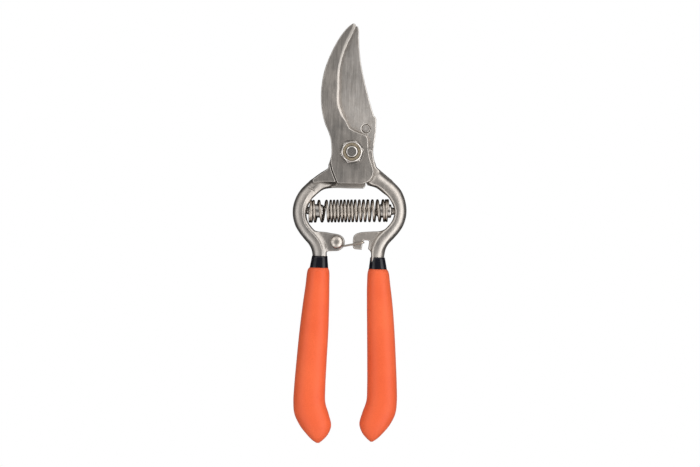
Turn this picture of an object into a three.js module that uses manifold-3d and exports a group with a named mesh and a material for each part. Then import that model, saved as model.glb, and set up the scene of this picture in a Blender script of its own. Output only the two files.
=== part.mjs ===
// Bypass pruning shears, lying on their back with the jaws latched shut.
// Millimetres. +Z is up through the thickness, +Y runs to the tips, +X to the hook half's handle.
// The origin is on the pivot axis, on the back face of the bolt head, where the shears rest.

import * as THREE from 'three';
import { mergeVertices } from 'three/addons/utils/BufferGeometryUtils.js';
import Module from 'manifold-3d';

const wasm = await Module();
wasm.setup();

// ---------- driving dimensions ----------

const SHEAR_Z = 8.0;            // the plane between the two halves
const LAP_GAP = 0.05;           // each half stays this far from the shear plane
const BLADE_THICK = 4.0;        // cutting blade and its pivot plate
const HOOK_THICK = 5.0;         // hook and its pivot plate
const SHANK_HALF = 4.4;         // half the depth of a shank
const EAR_HALF = 2.8;           // half the thickness of a catch ear
const CLEAR = 0.35;             // cut between the two halves where one turns past the other
const SWING_R = 12.6;           // radius around the pivot that the other half's plate needs

const LEFT_DROP = 1.3;          // the left shank and grip sit this much lower than the right ones
const LEFT_SHIFT = 0.2;         // and this much further out
const LEFT_SWELL = 0.45;        // the left shank is this much fuller on its outer side

const BOLT_R = 3.0;             // M6 pivot bolt
const HOLE_R = 3.15;
const BOLT_HEAD_R = 6.0;
const BOLT_HEAD_Z = 3.0;
const BOLT_END_Z = 18.6;
const WASHER_R = 6.2;
const WASHER_THICK = 0.8;
const WASHER_GAP = 0.05;

const NUT_FLATS = 10.2;         // across flats
const NUT_HEX_TALL = 3.1;
const NUT_COLLAR_R = 4.7;
const NUT_COLLAR_TALL = 1.3;
const INSERT_R = 4.05;          // outside radius of the nylon ring

const PIN_AT = [6.8, 12.0];     // flush pin in the blade
const PIN_R = 2.1;

const SPRING_AT_Y = -29.3;      // spring axis, half-way along
const SPRING_SLOPE = 0.035;     // the spring sits a little lower on the left
const SPRING_MEAN_R = 5.2;
const SPRING_WIRE_R = 0.6;
const SPRING_HALF_LENGTH = 18.7;
const SPRING_TURNS = 19;

const PEG_R = 3.4;
const PEG_TIP_X = 12.6;         // where the pegs end, either side of the middle
const PEG_FACE_X = 22.3;        // inner face of the shank behind a peg
const PEG_TENON_R = 1.5;
const PEG_TENON = 3.0;
const PEG_NECK = 1.7;           // thin neck between the shank and the peg's body

const RIVET_AT = [-6.4, -45.0]; // catch rivet on the left ear
const RIVET_R = 1.5;
const RIVET_DOME_R = 3.3;
const RIVET_DOME_TALL = 2.0;
const WIRE_R = 0.55;
const WIRE_TURN = 11.6;         // degrees the latched wire climbs to the right
const WIRE_EYE_R = 2.6;
const WIRE_REACH = 13.4;        // from the rivet's axis to the wire's tip

const SLEEVE_TOP = -52.2;       // where the black sleeves start
const GRIP_TOP = -58.1;         // where the orange grips start
const TANG_END = -132.5;
const SLEEVE_END = -135.5;
const GRIP_END = -144.3;
const NEST_GAP = 0.1;           // between tang, sleeve and grip

// ---------- helpers ----------

const flat = (x, y) => new THREE.Vector3(x, y, 0);

function toSolid(geometry) {
  const bare = geometry.clone();
  bare.deleteAttribute('normal');
  bare.deleteAttribute('uv');
  const merged = mergeVertices(bare, 1e-4);
  const corners = merged.index.array;
  const triangles = [];
  for (let i = 0; i < corners.length; i += 3) {
    const [a, b, c] = [corners[i], corners[i + 1], corners[i + 2]];
    if (a !== b && b !== c && c !== a) triangles.push(a, b, c);
  }
  return new wasm.Manifold(new wasm.Mesh({
    numProp: 3,
    vertProperties: Float32Array.from(merged.attributes.position.array),
    triVerts: Uint32Array.from(triangles),
  }));
}

function toGeometry(solid) {
  const { vertProperties, triVerts } = solid.getMesh();
  const geometry = new THREE.BufferGeometry();
  geometry.setAttribute('position', new THREE.BufferAttribute(vertProperties, 3));
  geometry.setIndex(new THREE.BufferAttribute(triVerts, 1));
  geometry.computeVertexNormals();
  return geometry;
}

const join = (solids) => solids.reduce((sum, solid) => sum.add(solid));
const cut = (solid, tools) => tools.reduce((rest, tool) => rest.subtract(tool), solid);

// A closed outline, anticlockwise. Each stretch runs on from the end of the one before it:
// one point makes a straight edge, more make a smooth curve.
function trace(stretches, step = 2.2) {
  const outline = [];
  let start = flat(...stretches.at(-1).at(-1));
  stretches.forEach((stretch, index) => {
    const points = [start, ...stretch.map(([x, y]) => flat(x, y))];
    const curve = points.length > 2
      ? new THREE.CatmullRomCurve3(points, false, 'centripetal')
      : new THREE.LineCurve3(...points);
    const count = points.length > 2 ? Math.ceil(curve.getLength() / step) : 1;
    for (let i = 0; i < count; i++) {
      const point = curve.getPointAt(i / count);
      outline.push(Object.assign(point, { stretch: index, along: i / count }));
    }
    start = points.at(-1);
  });
  return THREE.ShapeUtils.area(outline) < 0 ? outline.reverse() : outline;
}

// The same outline moved inwards; width may differ from point to point.
function inset(outline, widthOf) {
  const size = outline.length;
  return outline.map((point, i) => {
    const before = outline[(i + size - 1) % size];
    const after = outline[(i + 1) % size];
    const along = after.clone().sub(before).normalize();
    const width = widthOf(point);
    return flat(point.x - along.y * width, point.y + along.x * width);
  });
}

const atHeight = (outline, z) => outline.map((point) => new THREE.Vector3(point.x, point.y, z));

// A solid skinned over rings that all have the same number of points.
function skin(rings, convex = false) {
  const size = rings[0].length;
  const corner = rings.flat();
  const triangles = [];
  for (let r = 0; r + 1 < rings.length; r++) {
    for (let i = 0; i < size; i++) {
      const a = r * size + i;
      const b = r * size + ((i + 1) % size);
      triangles.push([a, b, b + size], [a, b + size, a + size]);
    }
  }
  const last = (rings.length - 1) * size;
  const fan = (ring) => ring.slice(2).map((_, i) => [0, i + 1, i + 2]);
  const lid = convex ? fan : (ring) => THREE.ShapeUtils.triangulateShape(ring, []);
  lid(rings[0]).forEach(([a, b, c]) => triangles.push([c, b, a]));
  lid(rings.at(-1)).forEach(([a, b, c]) => triangles.push([a + last, b + last, c + last]));
  const volume = triangles.reduce(
    (sum, [a, b, c]) => sum + corner[a].dot(corner[b].clone().cross(corner[c])), 0);
  const outward = volume < 0 ? triangles.map(([a, b, c]) => [c, b, a]) : triangles;
  const geometry = new THREE.BufferGeometry().setFromPoints(corner);
  geometry.setIndex(outward.flat());
  return geometry;
}

const slab = (outline, low, high) => toSolid(skin([atHeight(outline, low), atHeight(outline, high)]));

// A ring in a plane that stands on the bench: a rounded rectangle between two points.
function section(outer, inner, z, half, power, sides) {
  const middle = outer.clone().add(inner).multiplyScalar(0.5);
  const reach = outer.clone().sub(inner).multiplyScalar(0.5);
  const round = (value) => Math.sign(value) * Math.abs(value) ** (2 / power);
  return Array.from({ length: sides }, (_, i) => {
    const angle = (2 * Math.PI * i) / sides;
    const point = middle.clone().addScaledVector(reach, round(Math.cos(angle)));
    point.z = z + half * round(Math.sin(angle));
    return point;
  });
}

// A bar through stations of [outer x, outer y, inner x, inner y, middle z, half depth].
function bar(stations, { steps, power = 2.6, sides = 16, grow = 0 }) {
  const rail = (pick) => new THREE.CatmullRomCurve3(stations.map(pick), false, 'centripetal');
  const outerRail = rail(([x, y]) => flat(x, y));
  const innerRail = rail(([, , x, y]) => flat(x, y));
  const depthRail = rail(([, , , , z, half], i) => new THREE.Vector3(z, half, i));
  const rings = Array.from({ length: steps + 1 }, (_, i) => {
    const outer = outerRail.getPoint(i / steps);
    const inner = innerRail.getPoint(i / steps);
    const depth = depthRail.getPoint(i / steps);
    const out = outer.clone().sub(inner).normalize().multiplyScalar(grow);
    return section(outer.add(out), inner.sub(out), depth.x, depth.y + grow, power, sides);
  });
  return skin(rings, true);
}

function turned(profile, segments = 28) {
  const lathe = new THREE.LatheGeometry(profile.map(([r, z]) => new THREE.Vector2(r, z)), segments);
  return lathe.rotateX(Math.PI / 2);
}

function rod(radius, low, high, x = 0, y = 0, segments = 28) {
  const cylinder = new THREE.CylinderGeometry(radius, radius, high - low, segments);
  return toSolid(cylinder.rotateX(Math.PI / 2).translate(x, y, (low + high) / 2));
}

// The right handle's pieces turned over to make the left ones.
function turnOver(geometry) {
  const turn = new THREE.Matrix4().makeRotationY(Math.PI);
  const place = new THREE.Matrix4().makeTranslation(-LEFT_SHIFT, -LEFT_DROP, 2 * SHEAR_Z);
  return geometry.applyMatrix4(place.multiply(turn));
}

// ---------- outlines of the two halves ----------

const HOOK_OUTLINE = trace([
  // back of the hook, from the tip down to the waist
  [[-3.9, 62.0], [-8.2, 56.0], [-12.1, 48.0], [-14.8, 40.0], [-16.0, 32.0], [-16.05, 26.0],
    [-15.4, 20.0], [-13.8, 14.0], [-12.0, 10.0], [-10.7, 6.0], [-10.15, 0.5], [-10.3, -4.5]],
  // closing face, down to the bottom corner
  [[-9.8, -8.2], [-8.4, -12.0], [-7.1, -15.0]],
  [[-6.5, -15.7], [-5.2, -15.8]],
  [[6.0, -15.7]],
  // round lower corner and right-hand edge of the plate
  [[9.0, -14.3], [10.8, -11.4], [11.1, -9.0], [10.4, -6.2]],
  [[9.4, -3.6], [8.5, 0.0], [8.05, 4.0], [7.8, 7.0]],
  // shoulder above the pivot
  [[7.0, 8.3], [4.5, 9.3], [1.0, 10.5], [-1.5, 12.0]],
  // edge that the blade passes
  [[-3.5, 16.0], [-5.3, 20.0], [-6.6, 24.0], [-6.95, 28.0], [-6.85, 32.0], [-7.0, 38.0],
    [-6.75, 42.0], [-6.0, 46.0], [-4.95, 50.0], [-3.4, 54.0], [-1.6, 58.0], [0.3, 62.0]],
  [[0.45, 63.2], [-0.2, 64.1], [-1.1, 64.3]],
]);

const EDGE_STRETCH = 9;         // the stretch below that is ground to a cutting edge

const BLADE_OUTLINE = trace([
  // spine, from the tip down to the step
  [[1.9, 61.6], [2.1, 58.0], [2.5, 51.5], [3.3, 45.5], [4.4, 40.0], [6.3, 32.5], [8.5, 25.0],
    [9.9, 20.5], [10.6, 18.6]],
  [[11.4, 18.0], [11.85, 16.8]],
  [[11.8, 12.0], [11.5, 8.0], [10.9, 3.0], [10.6, -0.5]],
  // round plate, inside the circle that the other half's shank clears
  [[10.3, -5.6], [8.5, -8.5], [6.6, -10.6]],
  [[6.9, -13.0], [7.3, -16.7]],
  [[6.2, -17.9]],
  // lower edge, out to the loop and into the shank
  [[-1.0, -18.0], [-8.0, -18.0], [-13.4, -18.5], [-16.1, -19.9], [-18.8, -22.4]],
  [[-22.0, -19.0], [-20.4, -15.0]],
  [[-16.0, -11.6], [-12.0, -8.7], [-11.3, -7.8], [-11.4, -6.4], [-10.8, -4.2], [-10.0, -1.0],
    [-9.6, 3.0], [-8.4, 7.5], [-6.1, 12.0]],
  // cutting edge, from the heel up to the tip
  [[-6.6, 15.0], [-8.0, 19.0], [-9.2, 23.5], [-9.9, 29.0], [-10.0, 34.0], [-9.6, 40.0],
    [-8.6, 45.5], [-7.0, 50.5], [-4.6, 55.5], [-2.0, 59.5], [0.2, 62.6]],
  [[0.7, 63.2], [1.2, 63.2]],
]);

// Web that stands up beside the hook's plate on the left half; the hook's outline is cut from it.
const WEB_OUTLINE = trace([
  [[-11.4, -6.6]],
  [[-11.3, -7.8], [-12.0, -8.7], [-16.0, -11.6], [-20.4, -15.0]],
  [[-20.0, -18.0]],
  [[-18.6, -17.2]],
  [[-14.0, -16.6], [-7.4, -16.5]],
  [[-5.0, -12.0]],
  [[-9.0, -5.0]],
]);

// Its fellow on the back of the right half.
const REAR_WEB_OUTLINE = trace([
  [[11.6, -5.2]],
  [[12.4, -7.4], [14.0, -8.9], [18.0, -12.1], [20.0, -13.8]],
  [[18.6, -20.6]],
  [[16.4, -19.6], [14.0, -17.9], [12.0, -16.8], [8.2, -16.2]],
  [[7.6, -13.0]],
  [[7.2, -10.4]],
]);

// Low shoulder between the hook's plate and its shank.
const LEDGE_OUTLINE = trace([
  [[8.0, 2.2]],
  [[10.5, 1.0], [10.7, -0.4], [10.95, -2.0], [11.4, -4.0], [12.4, -7.4]],
  [[14.0, -8.9]],
  [[11.5, -14.0]],
  [[8.6, -6.0]],
]);

const RIGHT_EAR_OUTLINE = trace([
  [[16.8, -39.0]],
  [[10.0, -39.4], [5.4, -39.9], [3.0, -40.8], [2.0, -42.0], [1.7, -43.6]],
  [[1.7, -47.0]],
  [[2.1, -48.0], [3.1, -48.4]],
  [[6.2, -48.5]],
  // notch for the catch wire
  [[6.6, -44.6]],
  [[7.2, -43.9], [8.3, -43.8], [9.4, -43.9], [9.9, -44.4]],
  [[9.4, -48.2]],
  [[11.4, -49.4]],
  [[15.0, -49.0]],
  [[19.0, -42.0]],
], 1.0);

const LEFT_EAR_OUTLINE = trace([
  [[-16.6, -40.0]],
  [[-12.6, -40.15], [-8.6, -40.75], [-5.6, -41.2], [-3.3, -42.5], [-2.3, -44.8], [-2.9, -47.3],
    [-5.2, -49.3], [-8.0, -49.6]],
  [[-11.8, -49.8]],
  [[-15.0, -50.0]],
  [[-19.5, -43.0]],
], 1.4);

// ---------- shank, tang and handle stations, for the right-hand side ----------

const SHANK_STATIONS = [
  [11.6, -6.4, 7.6, -14.4, SHEAR_Z + 2.1, 2.0],
  [14.7, -9.2, 9.9, -16.1, SHEAR_Z + 1.0, 3.2],
  [18.1, -12.0, 13.4, -17.3, SHEAR_Z + 0.2, 4.1],
  [21.9, -14.9, 16.6, -19.8, SHEAR_Z, SHANK_HALF],
  [25.05, -18.3, 19.2, -22.4, SHEAR_Z, SHANK_HALF],
  [27.0, -22.3, 21.0, -25.4, SHEAR_Z, SHANK_HALF],
  [27.95, -26.2, 21.9, -27.9, SHEAR_Z, SHANK_HALF],
  [28.15, -29.3, 22.1, -29.6, SHEAR_Z, SHANK_HALF],
  [27.8, -32.4, 21.8, -31.7, SHEAR_Z, SHANK_HALF],
  [26.6, -36.15, 20.9, -34.0, SHEAR_Z, SHANK_HALF],
  [24.45, -39.65, 18.8, -36.8, SHEAR_Z, SHANK_HALF],
  [21.85, -42.8, 16.2, -39.3, SHEAR_Z, SHANK_HALF],
  [19.6, -45.3, 13.4, -42.6, SHEAR_Z, SHANK_HALF],
  [18.2, -48.0, 11.6, -46.4, SHEAR_Z, SHANK_HALF],
  [17.7, -50.6, 11.0, -50.2, SHEAR_Z, SHANK_HALF],
];

// [y, inner x, outer x, half depth] down the tang
const TANG_ROWS = [
  [-53.0, 11.0, 17.5, 4.4],
  [-60.0, 11.0, 18.3, 4.5],
  [-72.0, 11.4, 19.6, 4.8],
  [-86.0, 12.0, 20.6, 5.0],
  [-102.0, 12.8, 21.4, 5.0],
  [-118.0, 13.4, 21.8, 4.8],
  [-127.0, 12.8, 20.6, 4.2],
  [TANG_END, 12.0, 18.4, 3.4],
];

const GRIP_ROWS = [
  [GRIP_TOP, 10.3, 19.1, 6.0],
  [-59.2, 9.6, 19.9, 6.7],
  [-66.0, 9.3, 21.0, 7.3],
  [-76.0, 9.5, 22.4, 7.8],
  [-88.0, 9.9, 23.6, 8.0],
  [-104.0, 10.4, 24.8, 8.0],
  [-117.0, 10.7, 25.6, 8.0],
  [-124.0, 10.5, 25.8, 8.0],
  [-130.0, 8.6, 25.2, 7.7],
  [-135.5, 7.3, 22.7, 7.0],
  [-140.0, 8.8, 19.2, 5.6],
  [-142.8, 11.2, 16.4, 3.9],
  [GRIP_END, 13.0, 14.2, 1.6],
];

// The left handle is fuller on its outer side between the loop's waist and the top of the grip.
function fuller(stations, side) {
  if (side > 0) return stations;
  const { smoothstep } = THREE.MathUtils;
  return stations.map(([x, y, ...rest]) => {
    const swell = LEFT_SWELL * smoothstep(-y, 19, 25) * (1 - smoothstep(-y, 54, 80));
    return [x + swell, y, ...rest];
  });
}

// The left grip's coat is also thicker on its inner side, and a little thinner at its outer heel.
function gripRows(side) {
  if (side > 0) return GRIP_ROWS;
  const { smoothstep } = THREE.MathUtils;
  return GRIP_ROWS.map(([y, inner, outer, half]) => [
    y, inner - 0.75 * smoothstep(-y, 62, 90), outer - 0.3 * smoothstep(-y, 125, 140), half,
  ]);
}

const asStations = (rows) => rows.map(([y, inner, outer, half]) => [outer, y, inner, y, SHEAR_Z, half]);

// The tang from just above `top`, and beyond its end by `extra`, for the sleeve and grip to fit over.
function tangRows(top, end) {
  const last = TANG_ROWS.at(-1);
  const first = TANG_ROWS[0];
  const tail = [end, last[1] + 0.4, last[2] - 0.8, last[3] - 0.4];
  const head = [top, ...first.slice(1)];
  return end < TANG_END ? [head, ...TANG_ROWS.slice(1), tail] : [head, ...TANG_ROWS.slice(1)];
}

// Thickness of the black sleeve outside the tang: thin at its top, full at the grip.
const SLEEVE_LIP = 0.4;
const SLEEVE_THICK = 1.1;

function sleeveOutside(top, end, grow = 0) {
  const rows = tangRows(top, end).map(([y, inner, outer, half]) => {
    const thick = THREE.MathUtils.mapLinear(THREE.MathUtils.clamp(y, GRIP_TOP, SLEEVE_TOP),
      SLEEVE_TOP, GRIP_TOP, SLEEVE_LIP, SLEEVE_THICK) + grow;
    return [y, inner - thick, outer + thick, half + thick];
  });
  return rows;
}

// ---------- the two forged halves ----------

// Jaws get thinner towards their tips: heights above the shear plane shrink with y.
function taper(geometry, flatZ, tipScale) {
  const position = geometry.attributes.position;
  for (let i = 0; i < position.count; i++) {
    const reach = THREE.MathUtils.smoothstep(position.getY(i), 14, 66);
    const scale = THREE.MathUtils.lerp(1, tipScale, reach);
    position.setZ(i, flatZ + (position.getZ(i) - flatZ) * scale);
  }
  return geometry;
}

function hookBody() {
  const low = SHEAR_Z + LAP_GAP;
  const high = low + HOOK_THICK;
  const chamfered = inset(HOOK_OUTLINE, () => 0.9);
  const rings = [
    atHeight(HOOK_OUTLINE, low),
    atHeight(HOOK_OUTLINE, high - 1.1),
    atHeight(chamfered, high),
  ];
  return toSolid(taper(skin(rings), low, 0.5));
}

function bladeBody() {
  const high = SHEAR_Z - LAP_GAP;
  const low = high - BLADE_THICK;
  const grind = ({ stretch, along }) => {
    if (stretch !== EDGE_STRETCH) return 0.4;
    return 0.4 + 4.2 * Math.sin(Math.PI * Math.min(1, 0.16 + 0.8 * along)) ** 0.7;
  };
  const rings = [
    atHeight(inset(BLADE_OUTLINE, grind), low),
    atHeight(BLADE_OUTLINE, high - 0.5),
    atHeight(BLADE_OUTLINE, high),
  ];
  return toSolid(taper(skin(rings), high, 0.5));
}

function shank(side) {
  return bar(fuller(SHANK_STATIONS, side), { steps: 28 });
}

function tang(side) {
  const neck = [SHANK_STATIONS.at(-1), ...asStations(TANG_ROWS)];
  return bar(fuller(neck, side), { steps: 10 });
}

function pegHole(side) {
  const drop = side < 0 ? SPRING_AT_Y - 0.4 : SPRING_AT_Y + 0.4;
  const hole = new THREE.CylinderGeometry(PEG_TENON_R + 0.1, PEG_TENON_R + 0.1, 8, 16);
  hole.rotateZ(Math.PI / 2);
  return toSolid(hole.translate(side * (PEG_FACE_X + PEG_TENON + 0.2 - 4), drop, SHEAR_Z));
}

function bladeHalf() {
  const web = slab(WEB_OUTLINE, SHEAR_Z - LAP_GAP - 1, SHEAR_Z + SHANK_HALF - 0.4);
  const ear = slab(LEFT_EAR_OUTLINE, SHEAR_Z - EAR_HALF, SHEAR_Z + EAR_HALF);
  const forged = join([
    bladeBody(), web, toSolid(turnOver(shank(-1))), toSolid(turnOver(tang(-1))), ear,
  ]);
  const hookRoom = slab(inset(HOOK_OUTLINE, () => -CLEAR), SHEAR_Z - LAP_GAP, 20);
  return cut(forged, [
    hookRoom,
    rod(SWING_R - 2, SHEAR_Z - LAP_GAP, 20),
    rod(HOLE_R, -1, 20),
    rod(PIN_R + 0.1, SHEAR_Z - 3.2, 20, ...PIN_AT, 20),
    rod(RIVET_R + 0.1, 0, 20, ...RIVET_AT, 20),
    pegHole(-1),
  ]);
}

function hookHalf() {
  const web = slab(REAR_WEB_OUTLINE, SHEAR_Z - SHANK_HALF + 0.4, SHEAR_Z + 1);
  const ledge = slab(LEDGE_OUTLINE, SHEAR_Z + LAP_GAP, SHEAR_Z + 2.4);
  const ear = slab(RIGHT_EAR_OUTLINE, SHEAR_Z - EAR_HALF, SHEAR_Z + EAR_HALF);
  const forged = join([hookBody(), ledge, web, toSolid(shank(1)), toSolid(tang(1)), ear]);
  const bladeRoom = slab(inset(BLADE_OUTLINE, () => -CLEAR), -1, SHEAR_Z + LAP_GAP);
  return cut(forged, [
    bladeRoom,
    rod(SWING_R, -1, SHEAR_Z + LAP_GAP),
    rod(HOLE_R, -1, 20),
    pegHole(1),
  ]);
}

// ---------- pivot ----------

function pivotBolt() {
  return toSolid(turned([
    [0, 0], [BOLT_HEAD_R - 0.8, 0], [BOLT_HEAD_R, 0.7], [BOLT_HEAD_R, BOLT_HEAD_Z - 0.3],
    [BOLT_HEAD_R - 0.3, BOLT_HEAD_Z], [BOLT_R, BOLT_HEAD_Z], [BOLT_R, BOLT_END_Z - 0.5],
    [BOLT_R - 0.5, BOLT_END_Z], [0, BOLT_END_Z],
  ]));
}

function washer(low, outer, inner, thick) {
  return toSolid(turned([
    [inner, low], [outer, low], [outer, low + thick - 0.2], [outer - 0.2, low + thick],
    [inner, low + thick], [inner, low],
  ]));
}

const NUT_Z = SHEAR_Z + LAP_GAP + HOOK_THICK + WASHER_THICK + 2 * WASHER_GAP;

function pivotNut() {
  const corner = NUT_FLATS / Math.sqrt(3);
  const hex = new THREE.CylinderGeometry(corner, corner, NUT_HEX_TALL, 6).rotateX(Math.PI / 2);
  hex.rotateZ(THREE.MathUtils.degToRad(-18)).translate(0, 0, NUT_Z + NUT_HEX_TALL / 2);
  const top = NUT_Z + NUT_HEX_TALL;
  const envelope = toSolid(turned([
    [0, NUT_Z - 1], [corner + 1, NUT_Z - 1], [corner + 1, top - 1.1], [corner - 0.9, top], [0, top],
  ]));
  const collar = toSolid(turned([
    [0, top - 1], [NUT_COLLAR_R, top - 1], [NUT_COLLAR_R, top + NUT_COLLAR_TALL - 0.4],
    [NUT_COLLAR_R - 0.4, top + NUT_COLLAR_TALL], [0, top + NUT_COLLAR_TALL],
  ]));
  const pocket = rod(INSERT_R + 0.1, top - 0.4, 30);
  return cut(toSolid(hex).intersect(envelope).add(collar), [rod(BOLT_R + 0.1, 0, 30), pocket]);
}

function nutInsert() {
  const low = NUT_Z + NUT_HEX_TALL - 0.3;
  return washer(low, INSERT_R, BOLT_R + 0.1, NUT_COLLAR_TALL);
}

function bladePin() {
  const top = SHEAR_Z - LAP_GAP - 0.05;
  return toSolid(turned([
    [0, top - 2.9], [PIN_R, top - 2.9], [PIN_R, top - 0.25], [PIN_R - 0.25, top], [0, top],
  ], 20).translate(...PIN_AT, 0));
}

// ---------- spring and its pegs ----------

class SpringAxis extends THREE.Curve {
  getPoint(t) {
    const angle = 2 * Math.PI * SPRING_TURNS * t;
    const x = THREE.MathUtils.lerp(-SPRING_HALF_LENGTH, SPRING_HALF_LENGTH, t);
    return new THREE.Vector3(x, SPRING_AT_Y + SPRING_SLOPE * x + SPRING_MEAN_R * Math.cos(angle),
      SHEAR_Z + SPRING_MEAN_R * Math.sin(angle));
  }
}

function returnSpring() {
  const wire = new THREE.Shape().absarc(0, 0, SPRING_WIRE_R, 0, 2 * Math.PI);
  return toSolid(new THREE.ExtrudeGeometry(wire, {
    steps: SPRING_TURNS * 10, curveSegments: 3, bevelEnabled: false, extrudePath: new SpringAxis(),
  }));
}

function springPeg(side) {
  const long = PEG_FACE_X - PEG_TIP_X;
  const peg = turned([
    [0, -PEG_TENON], [PEG_TENON_R, -PEG_TENON], [PEG_TENON_R, PEG_NECK], [PEG_R, PEG_NECK],
    [PEG_R, long - 2.2],
    [PEG_R * 0.86, long - 0.9], [PEG_R * 0.5, long - 0.15], [0, long],
  ], 20);
  peg.rotateY(-side * Math.PI / 2);
  return toSolid(peg.translate(side * PEG_FACE_X, SPRING_AT_Y + side * 0.4, SHEAR_Z));
}

// ---------- catch ----------

const WIRE_Z = SHEAR_Z + EAR_HALF + 0.4 + WIRE_R;

class WireAxis extends THREE.Curve {
  getPoint(t) {
    const climb = THREE.MathUtils.degToRad(WIRE_TURN);
    const eyeTurn = THREE.MathUtils.degToRad(285);
    const eyeLength = WIRE_EYE_R * eyeTurn;
    const straight = WIRE_REACH - WIRE_R;
    const run = t * (eyeLength + straight);
    const [x, y] = RIVET_AT;
    if (run < eyeLength) {
      const angle = climb - Math.PI / 2 - (eyeLength - run) / WIRE_EYE_R;
      return new THREE.Vector3(x + WIRE_EYE_R * Math.cos(angle), y + WIRE_EYE_R * Math.sin(angle), WIRE_Z);
    }
    const ahead = run - eyeLength;
    return new THREE.Vector3(
      x + WIRE_EYE_R * Math.sin(climb) + ahead * Math.cos(climb),
      y - WIRE_EYE_R * Math.cos(climb) + ahead * Math.sin(climb), WIRE_Z);
  }
}

function catchWire() {
  const round = new THREE.Shape().absarc(0, 0, WIRE_R, 0, 2 * Math.PI);
  return toSolid(new THREE.ExtrudeGeometry(round, {
    steps: 26, curveSegments: 4, bevelEnabled: false, extrudePath: new WireAxis(),
  }));
}

function catchRivet() {
  const dome = WIRE_Z + WIRE_R + 0.2;
  const back = SHEAR_Z - EAR_HALF - 0.1;
  return toSolid(turned([
    [0, back - 1.3], [2.1, back - 1.3], [2.8, back - 0.5], [2.8, back], [RIVET_R, back],
    [RIVET_R, dome], [RIVET_DOME_R, dome], [RIVET_DOME_R * 0.95, dome + RIVET_DOME_TALL * 0.35],
    [RIVET_DOME_R * 0.78, dome + RIVET_DOME_TALL * 0.68], [RIVET_DOME_R * 0.42, dome + RIVET_DOME_TALL * 0.93],
    [0, dome + RIVET_DOME_TALL],
  ]).translate(...RIVET_AT, 0));
}

function rivetWasher() {
  const low = SHEAR_Z + EAR_HALF + 0.05;
  return washer(low, 3.2, RIVET_R + 0.1, 0.3).translate(...RIVET_AT, 0);
}

// ---------- handles ----------

function sleeve(side) {
  const drop = side < 0 ? LEFT_DROP : 0;
  const top = SLEEVE_TOP + drop;
  const place = side < 0 ? turnOver : (geometry) => geometry;
  const outside = bar(fuller(asStations(sleeveOutside(top, SLEEVE_END)), side), { steps: 12 });
  const core = [SHANK_STATIONS.at(-1), ...asStations(tangRows(TANG_ROWS[0][0], TANG_END))];
  const inside = bar(fuller(core, side), { steps: 10, grow: NEST_GAP });
  return cut(toSolid(place(outside)), [toSolid(place(inside))]);
}

function grip(side) {
  const drop = side < 0 ? LEFT_DROP : 0;
  const rows = gripRows(side).map((row, i) => (i < 2 ? [row[0] + drop, ...row.slice(1)] : row));
  const place = side < 0 ? turnOver : (geometry) => geometry;
  const outside = bar(fuller(asStations(rows), side), { steps: 24, power: 2.3, sides: 20 });
  const core = asStations(sleeveOutside(SLEEVE_TOP + drop, SLEEVE_END - NEST_GAP, NEST_GAP));
  const inside = bar(fuller(core, side), { steps: 12 });
  return cut(toSolid(place(outside)), [toSolid(place(inside))]);
}

// ---------- materials ----------

const steel = new THREE.MeshStandardMaterial({ color: 0x8d8580, roughness: 0.42, metalness: 1 });
const brightSteel = new THREE.MeshStandardMaterial({ color: 0xb9b2ae, roughness: 0.28, metalness: 1 });
const springSteel = new THREE.MeshStandardMaterial({ color: 0x9a928d, roughness: 0.32, metalness: 1 });
const nylon = new THREE.MeshStandardMaterial({ color: 0x8c8468, roughness: 0.6, metalness: 0 });
const blackVinyl = new THREE.MeshStandardMaterial({ color: 0x11131a, roughness: 0.2, metalness: 0 });
const orangeVinyl = new THREE.MeshStandardMaterial({ color: 0xf0652c, roughness: 0.62, metalness: 0 });

// ---------- assembly ----------

const shears = new THREE.Group();

function place(name, solid, material) {
  const mesh = new THREE.Mesh(toGeometry(solid), material);
  mesh.name = name;
  shears.add(mesh);
}

const REAR_WASHER_Z = BOLT_HEAD_Z + WASHER_GAP;
const FRONT_WASHER_Z = SHEAR_Z + LAP_GAP + HOOK_THICK + WASHER_GAP;

place('blade_half', bladeHalf(), steel);
place('hook_half', hookHalf(), steel);
place('blade_pin', bladePin(), brightSteel);
place('pivot_bolt', pivotBolt(), brightSteel);
place('rear_washer', washer(REAR_WASHER_Z, WASHER_R, HOLE_R, WASHER_THICK), brightSteel);
place('front_washer', washer(FRONT_WASHER_Z, WASHER_R, HOLE_R, WASHER_THICK), brightSteel);
place('pivot_nut', pivotNut(), brightSteel);
place('nut_insert', nutInsert(), nylon);
place('return_spring', returnSpring(), springSteel);
place('catch_rivet', catchRivet(), brightSteel);
place('rivet_washer', rivetWasher(), brightSteel);
place('catch_wire', catchWire(), springSteel);
for (const [word, side] of [['left', -1], ['right', 1]]) {
  place(`${word}_spring_peg`, springPeg(side), brightSteel);
  place(`${word}_sleeve`, sleeve(side), blackVinyl);
  place(`${word}_grip`, grip(side), orangeVinyl);
}

export default shears;
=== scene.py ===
"""Looks of the bypass pruning shears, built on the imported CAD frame.

Shapes are in millimetres in the CAD's own frame and become metres when a mesh is made:
+Z is up through the thickness, +Y runs to the jaw tips, +X is the hook half's side.
The two forged halves are fields of distance over a fine grid, skinned by a surface net,
so that plates, webs, shanks and ears flow into each other as in a forging.
"""

import math

import bpy
import numpy as np
from mathutils import Matrix, Vector


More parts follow.
